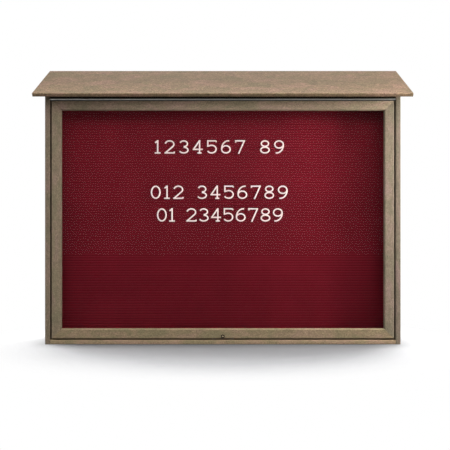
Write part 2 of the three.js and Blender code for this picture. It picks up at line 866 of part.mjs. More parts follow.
// The catch on the back of a stile: a plate, and a flange with a notch that opens towards the arm's
// pivot when the door stands on the props. Drawn in (y, z) about the notch's seat.
function propCatch(side) {
  const pivotFromDoor = swung(pivotPlace, -propHoldDegrees);
  const mouth = pivotFromDoor.sub(seatPlace).normalize();
  const lateral = new THREE.Vector2(mouth.y, -mouth.x);
  const at = (sideways, outward) =>
    lateral.clone().multiplyScalar(sideways).addScaledVector(mouth, outward);
  const plateBack = -catchStandoff + seatGap + catchPlateThickness;
  const half = catchPlateHeight / 2;
  const points = [
    new THREE.Vector2(plateBack - catchPlateThickness / 2, -half),
    new THREE.Vector2(plateBack, -half),
    at(catchSeatRadius + catchLipWidth, 0),
    at(catchSeatRadius, 0),
  ];
  for (let step = 1; step < notchSteps; step += 1) {
    const angle = (Math.PI * step) / notchSteps;
    points.push(at(catchSeatRadius * Math.cos(angle), -catchSeatRadius * Math.sin(angle)));
  }
  points.push(
    at(-catchSeatRadius, 0),
    at(-catchSeatRadius, catchUpperWall),
    at(-catchSeatRadius - catchLipWidth, catchUpperWall),
    new THREE.Vector2(plateBack, half),
    new THREE.Vector2(plateBack - catchPlateThickness / 2, half),
  );
  const flange = barAlongX(new THREE.Shape(points), side * catchInner, side * catchOuter);
  const plateX = [side * catchInner, side * (catchInner + catchPlateWidth)].sort((a, b) => a - b);
  const plate = box(
    [plateX[0], plateBack - catchPlateThickness, -half],
    [plateX[1], plateBack, half],
  );
  return join(plate, flange);
}

function props() {
  const group = new THREE.Group();
  sides.forEach(([word, side]) => {
    const onWall = new THREE.Group();
    addPiece(onWall, `prop_spacer_${word}`, propSpacer(side), steel);
    addPiece(onWall, `prop_bolt_${word}`, propBolt(side), steel);
    addPiece(onWall, `prop_arm_${word}`, propArm(side), steel);
    onWall.position.set(0, pivotSetback, pivotZ);
    const onDoor = addPiece(group, `prop_catch_${word}`, propCatch(side), steel);
    onDoor.position.set(0, hingeY + seatPlace.x, hingeZ + seatPlace.y);
    group.add(onWall);
  });
  return group;
}

const noticeBoard = new THREE.Group();
noticeBoard.add(cabinetBoards(), stopsAndSeals(), letterboard());
addPiece(noticeBoard, "strike_plate", strikePlate(), steel);
noticeBoard.add(doorFrame(), cornerPlates(), ...pianoHinge());
noticeBoard.add(lockFixedParts(), lockTurningParts(), props());

// The origin is at the middle of the footprint, on the surface that the cabinet stands on.
noticeBoard.updateMatrixWorld(true);
const reach = new THREE.Box3().setFromObject(noticeBoard);
noticeBoard.position.y = -(reach.min.y + reach.max.y) / 2;

export default noticeBoard;
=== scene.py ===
"""A lockable outdoor notice board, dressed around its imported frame.

Everything is in metres, with +X to the reader's right, +Y into the cabinet and +Z up.
"""

import json
import math

import bmesh
import bpy
from mathutils import Matrix, Vector


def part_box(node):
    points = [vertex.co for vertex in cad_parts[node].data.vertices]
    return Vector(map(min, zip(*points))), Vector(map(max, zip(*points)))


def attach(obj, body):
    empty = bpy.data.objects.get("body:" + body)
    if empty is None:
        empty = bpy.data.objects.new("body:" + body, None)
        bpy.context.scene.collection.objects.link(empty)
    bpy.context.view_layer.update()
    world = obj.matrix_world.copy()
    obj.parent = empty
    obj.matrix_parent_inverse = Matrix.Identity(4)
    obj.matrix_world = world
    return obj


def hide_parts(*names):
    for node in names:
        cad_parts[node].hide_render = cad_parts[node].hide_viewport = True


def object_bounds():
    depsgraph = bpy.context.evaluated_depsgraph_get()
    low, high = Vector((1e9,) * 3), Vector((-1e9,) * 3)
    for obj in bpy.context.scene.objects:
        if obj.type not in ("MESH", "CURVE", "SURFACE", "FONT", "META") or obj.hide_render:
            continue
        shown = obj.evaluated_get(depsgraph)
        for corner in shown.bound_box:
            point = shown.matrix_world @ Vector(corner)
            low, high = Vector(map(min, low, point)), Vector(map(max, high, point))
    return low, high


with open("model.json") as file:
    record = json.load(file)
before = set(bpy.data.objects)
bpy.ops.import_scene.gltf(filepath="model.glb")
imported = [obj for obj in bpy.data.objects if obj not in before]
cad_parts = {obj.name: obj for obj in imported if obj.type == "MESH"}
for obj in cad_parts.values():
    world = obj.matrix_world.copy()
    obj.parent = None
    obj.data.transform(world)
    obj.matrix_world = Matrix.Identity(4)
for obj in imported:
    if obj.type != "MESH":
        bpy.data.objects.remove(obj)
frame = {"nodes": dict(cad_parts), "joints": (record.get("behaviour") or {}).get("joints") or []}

solid_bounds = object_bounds()
nodes = frame["nodes"]
scene = bpy.context.scene
mm = 0.001

# Camera: straight on and level, at the height of the board's middle
camera_distance = 1.998
camera_height = 0.4235
camera_aside = 0.0078
camera_lens = 45.05
camera_sensor = 36

# Edges of the solids, as they are rounded here
board_edge = 0.6 * mm
metal_edge = 0.25 * mm
weld_distance = 0.01 * mm
flat_angle = math.radians(0.5)
board_edge_angle = math.radians(20)
metal_edge_angle = math.radians(35)

# Hinge
knuckle_length = 12.7 * mm
knuckle_gap = 0.5 * mm
leaf_thickness = 1.2 * mm
leaf_setback = 3.8 * mm
curl_sweep = math.radians(285)
curl_steps = 18
hinge_screw_spacing = 150 * mm
hinge_screw_setback = 9.5 * mm
hinge_screw_end_share = 1.5

# Screws: (head radius, head height)
flush_head = (3.4 * mm, 0.55 * mm)
small_head = (2.1 * mm, 1.2 * mm)
plate_head = (2.8 * mm, 1.4 * mm)
catch_head = (3.0 * mm, 1.4 * mm)
head_rim_share = 0.25
recess_width_share = 0.2
recess_reach_share = 0.62
recess_depth_share = 0.7
head_steps = 20
head_dome_steps = 5
screw_seat = 0.05 * mm
screw_turn = math.radians(37)
bead_screw_spacing = 190 * mm
bead_screw_setback = 2.5 * mm
corner_screw_places = (6 * mm, 34 * mm, 68 * mm)
strike_screw_reach = 31 * mm
catch_plate_thickness = 2 * mm
catch_screw_reach = 14 * mm
catch_screw_setback = 5.5 * mm
panel_head = (3.9 * mm, 1.3 * mm)
sunk_radius = 4.6 * mm
sunk_depth = 1.9 * mm
sunk_steps = 24
panel_screw_spacing = 185 * mm
panel_screw_setback = 55 * mm

# Characters: plain figures, in lines as on the board
character_height = 49.6 * mm
character_width_share = 0.74
character_narrow_share = 0.42
stroke_share = 0.104
serif_share = 0.1
space_share = 0.5
character_thickness = 2.6 * mm
character_crown = 0.7 * mm
crown_width_share = 0.72
character_stand = 0.1 * mm
stroke_step = 0.06 * mm
groove_pitch = 9.27 * mm
# The grooves above a figure's foot that its tabs sit in
tab_grooves = (1, 5)
tab_height = 1.6 * mm
tab_depth = 2.4 * mm
arc_steps = 14
# Each line: (text, groove under it, left end, right end)
character_lines = {
    "top": ("1234567 89", 71, -250.5 * mm, 224.8 * mm),
    "middle": ("012 3456789", 53, -265.6 * mm, 238.4 * mm),
    "bottom": ("01 23456789", 44, -243.1 * mm, 220.4 * mm),
}
line_above_groove = 4.2 * mm

# Foam strips
seal_crown = 0.9 * mm
seal_edge_steps = 3

# How deep the fine relief of each finish is
lumber_relief = 0.3 * mm
felt_relief = 0.15 * mm
plywood_relief = 0.2 * mm
aluminium_relief = 0.05 * mm
zinc_relief = 0.03 * mm
foam_relief = 0.3 * mm
plastic_relief = 0.04 * mm


def srgb(red, green, blue):
    """A colour written as 0 to 255, as the linear colour that a socket takes."""
    channels = []
    for value in (red, green, blue):
        share = value / 255
        channels.append(share / 12.92 if share <= 0.04045 else ((share + 0.055) / 1.055) ** 2.4)
    return (*channels, 1)


def joint_place(name):
    return Vector(next(joint for joint in frame["joints"] if joint["name"] == name)["pos_m"])


class Finish:
    """A material, with short ways to add the nodes that this object's finishes use."""

    def __init__(self, name, roughness, metallic=0):
        self.material = bpy.data.materials.new(name)
        self.material.use_nodes = True
        self.tree = self.material.node_tree
        self.shader = self.tree.nodes["Principled BSDF"]
        self.shader.inputs["Roughness"].default_value = roughness
        self.shader.inputs["Metallic"].default_value = metallic

    def add(self, kind, inputs, **settings):
        """A node with its settings and inputs. Gives its outputs."""
        made = self.tree.nodes.new(kind)
        for name, value in settings.items():
            setattr(made, name, value)
        for name, value in inputs.items():
            self.feed(made.inputs[name], value)
        return made.outputs

    def feed(self, socket, value):
        if isinstance(value, bpy.types.NodeSocket):
            self.tree.links.new(value, socket)
        else:
            socket.default_value = value

    def set(self, name, value):
        self.feed(self.shader.inputs[name], value)

    def place(self, start=(0, 0, 0), scale=(1, 1, 1), turn=(0, 0, 0)):
        """The surface's own coordinates, moved to start and stretched."""
        coordinates = self.add("ShaderNodeTexCoord", {})["Object"]
        inputs = {"Vector": coordinates, "Location": start, "Rotation": turn, "Scale": scale}
        return self.add("ShaderNodeMapping", inputs)["Vector"]

    def noise(self, vector, scale, detail=2.0, roughness=0.5, distortion=0.0):
        inputs = {
            "Vector": vector,
            "Scale": scale,
            "Detail": detail,
            "Roughness": roughness,
            "Distortion": distortion,
        }
        return self.add("ShaderNodeTexNoise", inputs)[0]

    def between(self, value, low, high, to_low, to_high):
        inputs = {"Value": value, "From Min": low, "From Max": high, "To Min": to_low, "To Max": to_high}
        return self.add("ShaderNodeMapRange", inputs)[0]

    def ramp(self, value, *stops):
        """A colour that runs through (place, colour) stops."""
        made = self.tree.nodes.new("ShaderNodeValToRGB")
        self.feed(made.inputs[0], value)
        elements = made.color_ramp.elements
        while len(elements) < len(stops):
            elements.new(1)
        for element, (place, colour) in zip(elements, stops):
            element.position = place
            element.color = colour
        return made.outputs[0]

    def mix(self, kind, share, first, second):
        made = self.tree.nodes.new("ShaderNodeMix")
        made.data_type = "RGBA"
        made.blend_type = kind
        made.clamp_result = True
        for index, value in ((0, share), (6, first), (7, second)):
            self.feed(made.inputs[index], value)
        return made.outputs[2]

    def sum(self, first, second, kind="ADD"):
        made = self.tree.nodes.new("ShaderNodeMath")
        made.operation = kind
        self.feed(made.inputs[0], first)
        self.feed(made.inputs[1], second)
        return made.outputs[0]

    def bump(self, height, distance, strength=1.0):
        inputs = {"Height": height, "Distance": distance, "Strength": strength}
        self.set("Normal", self.add("ShaderNodeBump", inputs)["Normal"])


lumber_olive = srgb(131, 118, 92)
lumber_tan = srgb(141, 122, 98)
lumber_pink = srgb(151, 126, 107)
lumber_pale = srgb(178, 162, 143)
patch_share = 0.45
flame_share = 0.5
grit_share = 0.8
streak_share = 0.1
# How far each painted shade on the lumber fades in
painted_shade_fade = 0.6 * mm


def lumber(name, along, start, tone, painted_front_light=(1, 0), painted_shades=(), mottle=1.0):
    """Recycled plastic lumber: olive, tan and pink patches under a wavy mottle, brushed along the board.

    A board with painted front light is paler towards its front, by the share and over the depth given. Each
    painted shade darkens a board to a share, past a place along a direction and over a fade. Mottle strengthens
    the fine pattern.
    """
    finish = Finish(name, roughness=0.7)

    def drawn(share):
        scale = [1, 1, 1]
        scale[along] = share
        return finish.place(start, scale)

    def toned(colour):
        return (*(channel * share for channel, share in zip(colour, tone)), 1)

    patches = finish.noise(drawn(patch_share), 24, detail=3, roughness=0.6, distortion=0.8)
    colour = finish.ramp(
        patches, (0.36, toned(lumber_olive)), (0.5, toned(lumber_tan)), (0.64, toned(lumber_pink))
    )
    clouds = finish.noise(drawn(flame_share), 52, detail=5, roughness=0.62, distortion=1.6)
    flames = finish.noise(drawn(flame_share), 130, detail=4, roughness=0.62, distortion=2.2)
    grit = finish.noise(drawn(grit_share), 260, detail=3, roughness=0.6, distortion=1.2)
    streaks = finish.noise(drawn(streak_share), 620, detail=3, roughness=0.6, distortion=0.5)
    flecks = finish.noise(drawn(patch_share), 900, detail=2, roughness=0.7)
    for layer, weight in ((clouds, 0.12), (flames, 0.24 * mottle), (grit, 0.26 * mottle), (streaks, 0.12)):
        level = finish.between(layer, 0.3, 0.7, 1 - weight, 1 + weight)
        colour = finish.mix("MULTIPLY", 1.0, colour, level)
    colour = finish.mix("MULTIPLY", 1.0, colour, finish.between(flecks, 0.34, 0.44, 0.68, 1.0))
    pale = finish.between(flecks, 0.62, 0.72, 0.0, 0.3)
    colour = finish.mix("MIX", pale, colour, toned(lumber_pale))
    # Painted light: the board is paler towards its front
    share, reach = painted_front_light
    if reach:
        depth = finish.add("ShaderNodeSeparateXYZ", {"Vector": finish.place()})["Y"]
        low = solid_bounds[0][1]
        colour = finish.mix("MULTIPLY", 1.0, colour, finish.between(depth, low, low + reach, 1.0, share))
    # Painted shade: each one darkens the board past a place along a direction
    for share, direction, place, fade in painted_shades:
        past = finish.add(
            "ShaderNodeVectorMath", {0: finish.place(), 1: direction}, operation="DOT_PRODUCT"
        )["Value"]
        dark = finish.between(past, place, place + fade, 1.0, share)
        colour = finish.mix("MULTIPLY", 1.0, colour, dark)
    finish.set("Base Color", colour)
    finish.set("Specular IOR Level", 0.2)
    finish.set("Roughness", finish.between(flames, 0.3, 0.7, 0.64, 0.78))
    fine = finish.sum(flames, finish.sum(flecks, 0.3, "MULTIPLY"))
    finish.bump(finish.sum(finish.sum(streaks, 0.6, "MULTIPLY"), fine), lumber_relief, 0.7)
    return finish.material


felt_deep = srgb(101, 19, 29)
felt_pale = srgb(126, 29, 41)
groove_depth = 2.0 * mm


def felt():
    """Burgundy flocked cloth over the grooved board, with a short fuzzy nap."""
    finish = Finish("letterboard_felt", roughness=0.95)
    surface = finish.place()
    nap = finish.noise(surface, 1700, detail=2, roughness=0.7)
    drift = finish.noise(surface, 9, detail=3, roughness=0.5)
    colour = finish.ramp(nap, (0.3, felt_deep), (0.72, felt_pale))
    colour = finish.mix("MULTIPLY", 1.0, colour, finish.between(drift, 0.3, 0.7, 0.93, 1.07))
    low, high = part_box("letterboard_face")
    parts = finish.add("ShaderNodeSeparateXYZ", {"Vector": surface})
    aside = finish.sum(parts["X"], 0, "ABSOLUTE")
    # Painted light and shade: the cloth is paler towards the top and the sides, and darker deep in its grooves
    painted_light_and_shade = (
        (parts["Z"], low.z, high.z, 0.76, 1.16),
        (aside, 0, high.x, 0.94, 1.14),
        (parts["Y"], low.y, low.y + groove_depth, 1.0, 0.5),
    )
    for fade in painted_light_and_shade:
        colour = finish.mix("MULTIPLY", 1.0, colour, finish.between(*fade))
    finish.set("Base Color", colour)
    finish.set("Sheen Weight", 0.08)
    finish.set("Sheen Roughness", 0.5)
    finish.set("Sheen Tint", srgb(190, 90, 104))
    finish.set("Specular IOR Level", 0.05)
    finish.bump(nap, felt_relief, 0.35)
    return finish.material


def plywood():
    """Pale birch ply: broad grain on the faces and thin layers on the edges."""
    finish = Finish("backing_plywood", roughness=0.7)
    along = finish.place((0.3, 0, 0.1), (0.12, 1, 1))
    grain = finish.noise(along, 90, detail=5, roughness=0.6, distortion=1.2)
    layers = finish.noise(finish.place((0, 0, 0), (0.01, 1, 0.01)), 1400, detail=0)
    colour = finish.ramp(grain, (0.3, srgb(166, 132, 92)), (0.7, srgb(206, 176, 134)))
    colour = finish.mix("MULTIPLY", 1.0, colour, finish.between(layers, 0.4, 0.6, 0.82, 1.05))
    finish.set("Base Color", colour)
    finish.bump(grain, plywood_relief, 0.5)
    return finish.material


barrel_painted_shade = (2.0 * mm, 0.4 * mm)


def mill_aluminium():
    """Rolled aluminium with faint lines along the hinge, small dull patches, and painted shade below the middle
    of the barrel.
    """
    finish = Finish("hinge_aluminium", roughness=0.38, metallic=0.8)
    lines = finish.noise(finish.place((0, 0, 0), (0.02, 1, 1)), 2600, detail=3, roughness=0.6)
    patches = finish.noise(finish.place(), 60, detail=4, roughness=0.6)
    colour = finish.ramp(patches, (0.3, srgb(214, 214, 209)), (0.7, srgb(236, 236, 232)))
    # Painted shade: the hinge is darker below the middle of its barrel
    height = finish.add("ShaderNodeSeparateXYZ", {"Vector": finish.place()})["Z"]
    pin = joint_place("door_hinge")
    low, high = (pin.z - below for below in barrel_painted_shade)
    colour = finish.mix("MULTIPLY", 1.0, colour, finish.between(height, low, high, 0.2, 1.0))
    finish.set("Base Color", colour)
    finish.set("Roughness", finish.between(patches, 0.3, 0.7, 0.46, 0.6))
    finish.bump(lines, aluminium_relief, 0.5)
    return finish.material


def zinc_steel():
    """Zinc-plated steel with a faint spangle and a few dull marks."""
    finish = Finish("zinc_steel", roughness=0.34, metallic=1)
    spangle = finish.noise(finish.place(), 420, detail=3, roughness=0.7)
    marks = finish.noise(finish.place(), 48, detail=5, roughness=0.6)
    colour = finish.ramp(spangle, (0.3, srgb(158, 161, 165)), (0.7, srgb(196, 198, 199)))
    colour = finish.mix("MULTIPLY", 1.0, colour, finish.between(marks, 0.3, 0.7, 0.86, 1.04))
    finish.set("Base Color", colour)
    finish.set("Roughness", finish.between(marks, 0.3, 0.7, 0.26, 0.46))
    finish.bump(spangle, zinc_relief, 0.4)
    return finish.material


worn_radius = 2.1 * mm
worn_edge = 0.5 * mm


def lock_bronze():
    """Dark bronze, worn down to bright brass around the keyhole."""
    finish = Finish("lock_bronze", roughness=0.45)
    axis = joint_place("lock_turn")
    wear = finish.noise(finish.place(), 700, detail=4, roughness=0.6)
    around = finish.place(start=(-axis.x, 0, -axis.z), scale=(1, 0, 1))
    out = finish.add("ShaderNodeVectorMath", {0: around}, operation="LENGTH")["Value"]
    rubbed = finish.between(out, worn_radius, worn_radius + worn_edge, 1.0, 0.0)
    bronze = finish.ramp(wear, (0.3, srgb(20, 14, 7)), (0.7, srgb(34, 24, 13)))
    brass = finish.ramp(wear, (0.3, srgb(196, 174, 136)), (0.7, srgb(222, 202, 166)))
    finish.set("Base Color", finish.mix("MIX", rubbed, bronze, brass))
    finish.set("Specular IOR Level", 0.15)
    finish.set("Roughness", finish.between(wear, 0.35, 0.7, 0.42, 0.6))
    return finish.material


def foam():
    """Black closed-cell foam with fine open pores on its skin."""
    finish = Finish("seal_foam", roughness=0.95)
    cells = finish.add("ShaderNodeTexVoronoi", {"Vector": finish.place(), "Scale": 1500})[0]
    finish.set("Base Color", finish.ramp(cells, (0.0, srgb(20, 20, 21)), (0.8, srgb(44, 44, 45))))
    finish.bump(cells, foam_relief, 0.7)
    return finish.material


def character_plastic():
    """White moulded plastic, with a faint pink tint painted in as light reflected from the red cloth, and the
    soft unevenness of a cheap moulding.
    """
    finish = Finish("character_plastic", roughness=0.5)
    cast = finish.noise(finish.place(), 160, detail=3, roughness=0.6)
    # The pink tint is painted reflected light from the red cloth
    finish.set("Base Color", finish.ramp(cast, (0.3, srgb(250, 222, 220)), (0.7, srgb(255, 234, 232))))
    finish.set("Roughness", finish.between(cast, 0.3, 0.7, 0.42, 0.58))
    finish.bump(cast, plastic_relief, 0.5)
    return finish.material


pane_ior = 1.12


def clear_pane():
    """A clear sheet that lets the lamps through."""
    finish = Finish("clear_pane", roughness=0.0)
    finish.set("Base Color", srgb(250, 252, 251))
    finish.set("Transmission Weight", 1.0)
    finish.set("IOR", pane_ior)
    path = finish.add("ShaderNodeLightPath", {})
    clear = finish.add("ShaderNodeBsdfTransparent", {"Color": srgb(250, 252, 251)})[0]
    inputs = {0: path["Is Shadow Ray"], 1: finish.shader.outputs[0], 2: clear}
    seen = finish.add("ShaderNodeMixShader", inputs)[0]
    output = finish.tree.nodes["Material Output"]
    finish.tree.links.new(seen, output.inputs["Surface"])
    return finish.material


def make_camera():
    camera = bpy.data.objects.new("camera", bpy.data.cameras.new("camera"))
    scene.collection.objects.link(camera)
    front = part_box("side_wall_left")[0].y
    camera.location = (camera_aside, front - camera_distance, camera_height)
    camera.rotation_euler = (math.pi / 2, 0, 0)
    camera.data.lens = camera_lens
    camera.data.sensor_width = camera_sensor
    scene.camera = camera


# Studio lamps, all aimed at the cabinet's middle: (azimuth, elevation, distance, width, height, power)
object_lamps = {
    "side": (81, 14, 1.45, 0.4, 0.5, 30),
    "high_front": (0, 45, 3.0, 2.6, 0.8, 7.4),
    "low_front": (0, 24, 3.2, 3.0, 0.6, 8.5),
    "rear": (180, 60, 3.0, 2.6, 1.4, 20),
}
floor_lamps = {
    "floor_rear": (180, 75, 2.6, 2.2, 1.0, 245),
    "floor_overhead": (180, 84, 3.2, 2.6, 1.9, 230),
    "floor_right": (130, 60, 3.2, 1.6, 1.6, 430),
    "floor_left": (-108, 48, 3.2, 1.4, 1.4, 320),
}
lamp_aim = Vector((0, -0.04, 0.45))
ambient_strength = 1.17
mirror_front = 0.02
mirror_back = 1.0
# Where the dim part of the mirrored world ends, in the direction's Y
mirror_fade = (-0.94, -0.88)
floor_size = 12
floor_reach = (0.8, 0.5, 1)
floor_shaded_share = 0.62
floor_white_share = 1.12
floor_colour = srgb(112, 112, 113)
floor_bounce_colour = srgb(38, 38, 38)
# Painted shade on the floor: how pale it is from the cabinet outwards, darkest at the cabinet's foot: (place as
# a share of the reach, level)
floor_painted_shade_reach = 400 * mm
floor_painted_shade = ((0.0, 0.66), (0.05, 0.78), (0.17, 1.0), (0.3, 1.0), (0.5, 0.95), (0.8, 0.86), (1.0, 0.8))


def make_lamp(name, azimuth, elevation, distance, width, height, power):
    data = bpy.data.lights.new(name, "AREA")
    data.shape = "RECTANGLE"
    data.size = width
    data.size_y = height
    data.energy = power
    turn, rise = math.radians(azimuth), math.radians(elevation)
    away = Vector((math.sin(turn) * math.cos(rise), -math.cos(turn) * math.cos(rise), math.sin(rise)))
    lamp = bpy.data.objects.new(name, data)
    lamp.location = lamp_aim + away * distance
    lamp.rotation_euler = (-away).to_track_quat("-Z", "Y").to_euler()
    scene.collection.objects.link(lamp)
    return lamp


def make_lamps(floor):
    """The floor has lamps of its own, so that it is white with no more light on the cabinet."""
    floor_only = bpy.data.collections.new("floor_only")
    floor_only.objects.link(floor)
    for name, lamp in object_lamps.items():
        # The side lamp is so close that its shape would show in the window
        make_lamp(name, *lamp).visible_glossy = name != "side"
    for name, lamp in floor_lamps.items():
        make_lamp(name, *lamp).light_linking.receiver_collection = floor_only


def make_world():
    """White to the camera, through glass and in metal, but dim in front, where the pane mirrors it."""
    world = bpy.data.worlds.new("studio")
    world.use_nodes = True
    scene.world = world
    tree = world.node_tree
    tree.nodes.clear()

    def add(kind, inputs, **settings):
        made = tree.nodes.new(kind)
        for name, value in settings.items():
            setattr(made, name, value)
        for name, value in inputs.items():
            if isinstance(value, bpy.types.NodeSocket):
                tree.links.new(value, made.inputs[name])
            else:
                made.inputs[name].default_value = value
        return made.outputs

    path = add("ShaderNodeLightPath", {})
    direction = add("ShaderNodeTexCoord", {})["Generated"]
    depth = add("ShaderNodeSeparateXYZ", {"Vector": direction})["Y"]
    range_inputs = {
        "Value": depth,
        "From Min": mirror_fade[0],
        "From Max": mirror_fade[1],
        "To Min": mirror_front,
        "To Max": mirror_back,
    }
    mirrored = add("ShaderNodeMapRange", range_inputs)[0]
    ambient = add("ShaderNodeBackground", {"Strength": ambient_strength})[0]
    in_metal = add("ShaderNodeBackground", {"Strength": mirrored})[0]
    white = add("ShaderNodeBackground", {"Color": (1, 1, 1, 1), "Strength": 1})[0]
    for background in (ambient, in_metal):
        background.node.inputs["Color"].default_value = (1, 1, 1, 1)
    lit = add("ShaderNodeMixShader", {0: path["Is Glossy Ray"], 1: ambient, 2: in_metal})[0]
    direct = add("ShaderNodeMath", {0: path["Diffuse Depth"], 1: 1}, operation="LESS_THAN")[0]
    through = add("ShaderNodeMath", {0: path["Is Transmission Ray"], 1: direct}, operation="MULTIPLY")[0]
    seen = add("ShaderNodeMath", {0: path["Is Camera Ray"], 1: through}, operation="MAXIMUM")[0]
    surface = add("ShaderNodeMixShader", {0: seen, 1: lit, 2: white})[0]
    add("ShaderNodeOutputWorld", {"Surface": surface})


def solid_foot():
    """The corners of the ground that the cabinet stands on."""
    left, right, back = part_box("side_wall_left")[0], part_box("side_wall_right")[1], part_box("back_panel")[1]
    return (left.x, left.y, 0), (right.x, back.y, 0)


def make_floor():
    """A floor that takes the cabinet's shadow and is white further out. It throws little light up."""
    mesh = bpy.data.meshes.new("floor")
    shape = bmesh.new()
    bmesh.ops.create_grid(shape, x_segments=1, y_segments=1, size=floor_size / 2)
    shape.to_mesh(mesh)
    shape.free()
    floor = bpy.data.objects.new("floor", mesh)
    scene.collection.objects.link(floor)
    finish = Finish("studio_floor", roughness=0.9)
    seen = finish.add("ShaderNodeLightPath", {})["Is Camera Ray"]
    around = finish.place(scale=[1 / reach for reach in floor_reach])
    out = finish.add("ShaderNodeVectorMath", {0: around}, operation="LENGTH")["Value"]
    faded = finish.between(out, floor_shaded_share, floor_white_share, 0.0, 1.0)
    faded.node.interpolation_type = "SMOOTHSTEP"
    white = finish.sum(seen, faded, "MULTIPLY")
    low, high = solid_foot()
    middle = [-(a + b) / 2 for a, b in zip(low, high)]
    centred = finish.place(start=middle)
    off = finish.add("ShaderNodeVectorMath", {0: centred}, operation="ABSOLUTE")["Vector"]
    half = [(b - a) / 2 for a, b in zip(low, high)]
    off = finish.add("ShaderNodeVectorMath", {0: off, 1: half}, operation="SUBTRACT")["Vector"]
    off = finish.add("ShaderNodeVectorMath", {0: off, 1: (0, 0, 0)}, operation="MAXIMUM")["Vector"]
    off = finish.add("ShaderNodeVectorMath", {0: off}, operation="LENGTH")["Value"]
    # Painted shadow on the floor, darkest at the cabinet's foot
    share = finish.between(off, 0.0, floor_painted_shade_reach, 0.0, 1.0)
    shade = finish.ramp(share, *((place, (level, level, level, 1)) for place, level in floor_painted_shade))
    shaded = finish.mix("MULTIPLY", 1.0, floor_colour, shade)
    colour = finish.mix("MIX", seen, floor_bounce_colour, shaded)
    finish.set("Base Color", finish.mix("MIX", white, colour, (0, 0, 0, 1)))
    finish.set("Emission Color", (1, 1, 1, 1))
    finish.set("Emission Strength", white)
    finish.set("Specular IOR Level", 0.0)
    mesh.materials.append(finish.material)
    floor.visible_glossy = False
    return floor


def dress(name, material, edge, edge_angle):
    """Gives a solid its finish, and rounds and smooths its edges."""
    solid = nodes[name]
    mesh = solid.data
    mesh.materials.clear()
    mesh.materials.append(material)
    if "custom_normal" in mesh.attributes:
        mesh.attributes.remove(mesh.attributes["custom_normal"])
    mesh.polygons.foreach_set("use_smooth", [True] * len(mesh.polygons))
    weld = solid.modifiers.new("weld", "WELD")
    weld.merge_threshold = weld_distance
    flat = solid.modifiers.new("flat_faces", "DECIMATE")
    flat.decimate_type = "DISSOLVE"
    flat.angle_limit = flat_angle
    soft_edge(solid, edge, edge_angle)


def soft_edge(piece, edge, edge_angle):
    bevel = piece.modifiers.new("edges", "BEVEL")
    bevel.width = edge
    bevel.segments = 2
    bevel.limit_method = "ANGLE"
    bevel.angle_limit = edge_angle
    bevel.miter_outer = "MITER_ARC"
    normals = piece.modifiers.new("normals", "WEIGHTED_NORMAL")
    normals.keep_sharp = True


def finished_mesh(shape, name):
    """A mesh from a bmesh, smooth, with its faces pointing out."""
    bmesh.ops.remove_doubles(shape, verts=shape.verts, dist=weld_distance)
    bmesh.ops.recalc_face_normals(shape, faces=shape.faces)
    for face in shape.faces:
        face.smooth = True
    mesh = bpy.data.meshes.new(name)
    shape.to_mesh(mesh)
    shape.free()
    return mesh


def new_piece(name, mesh, material, body, slot, *replaced):
    piece = bpy.data.objects.new(name, mesh)
    scene.collection.objects.link(piece)
    mesh.materials.clear()
    mesh.materials.append(material)
    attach(piece, body)
    if replaced:
        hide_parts(*replaced)
    return piece


def stamp(shape, mesh, matrix):
    """Adds a copy of a mesh to a bmesh, at its place."""
    before = len(shape.verts)
    shape.from_mesh(mesh)
    shape.verts.ensure_lookup_table()
    bmesh.ops.transform(shape, matrix=matrix, verts=shape.verts[before:])


def applied(piece):
    """The mesh that a temporary object's modifiers give. The object is removed."""
    mesh = bpy.data.meshes.new_from_object(piece.evaluated_get(bpy.context.evaluated_depsgraph_get()))
    bpy.data.objects.remove(piece)
    return mesh


def temporary(name, mesh):
    piece = bpy.data.objects.new(name, mesh)
    scene.collection.objects.link(piece)
    return piece


def block(shape, low, high):
    """A box between two corners, added to a bmesh."""
    size = Vector(high) - Vector(low)
    middle = (Vector(high) + Vector(low)) / 2
    matrix = Matrix.Translation(middle) @ Matrix.Diagonal((*size, 1))
    return bmesh.ops.create_cube(shape, size=1, matrix=matrix)["verts"]


def screw_head(radius, height):
    """A domed head with a cross recess, seated on the XY plane and facing +Z."""
    shape = bmesh.new()
    profile = [Vector((0, 0, -screw_seat)), Vector((radius, 0, -screw_seat))]
    for step in range(head_dome_steps + 1):
        turn = math.pi / 2 * step / head_dome_steps
        rise = head_rim_share + (1 - head_rim_share) * math.sin(turn)
        profile.append(Vector((radius * math.cos(turn), 0, height * rise)))
    profile[-1].x = 0
    corners = [shape.verts.new(point) for point in profile]
    edges = [shape.edges.new(pair) for pair in zip(corners, corners[1:])]
    bmesh.ops.spin(
        shape,
        geom=corners + edges,
        cent=(0, 0, 0),
        axis=(0, 0, 1),
        angle=2 * math.pi,
        steps=head_steps,
        use_merge=True,
        use_duplicate=False,
    )
    head = temporary("screw_head", finished_mesh(shape, "screw_head"))

    cutter_shape = bmesh.new()
    reach = radius * recess_reach_share
    half = radius * recess_width_share / 2
    floor = height * (1 - recess_depth_share)
    for across, along in ((half, reach), (reach, half)):
        block(cutter_shape, (-across, -along, floor), (across, along, 2 * height))
    cutter = temporary("screw_cutter", finished_mesh(cutter_shape, "screw_cutter"))
    cutting = head.modifiers.new("recess", "BOOLEAN")
    cutting.operation = "DIFFERENCE"
    cutting.object = cutter
    cutting.solver = "EXACT"
    cutting.use_self = True
    mesh = applied(head)
    bpy.data.objects.remove(cutter)
    return mesh


def spaced(low, high, spacing):
    """Places from low to high, evenly spaced and about this far apart."""
    count = max(1, round((high - low) / spacing))
    return [low + (high - low) * i / count for i in range(count + 1)]


def facing(direction):
    """Turns +Z to a direction."""
    return Vector(direction).to_track_quat("Z", "Y").to_matrix().to_4x4()


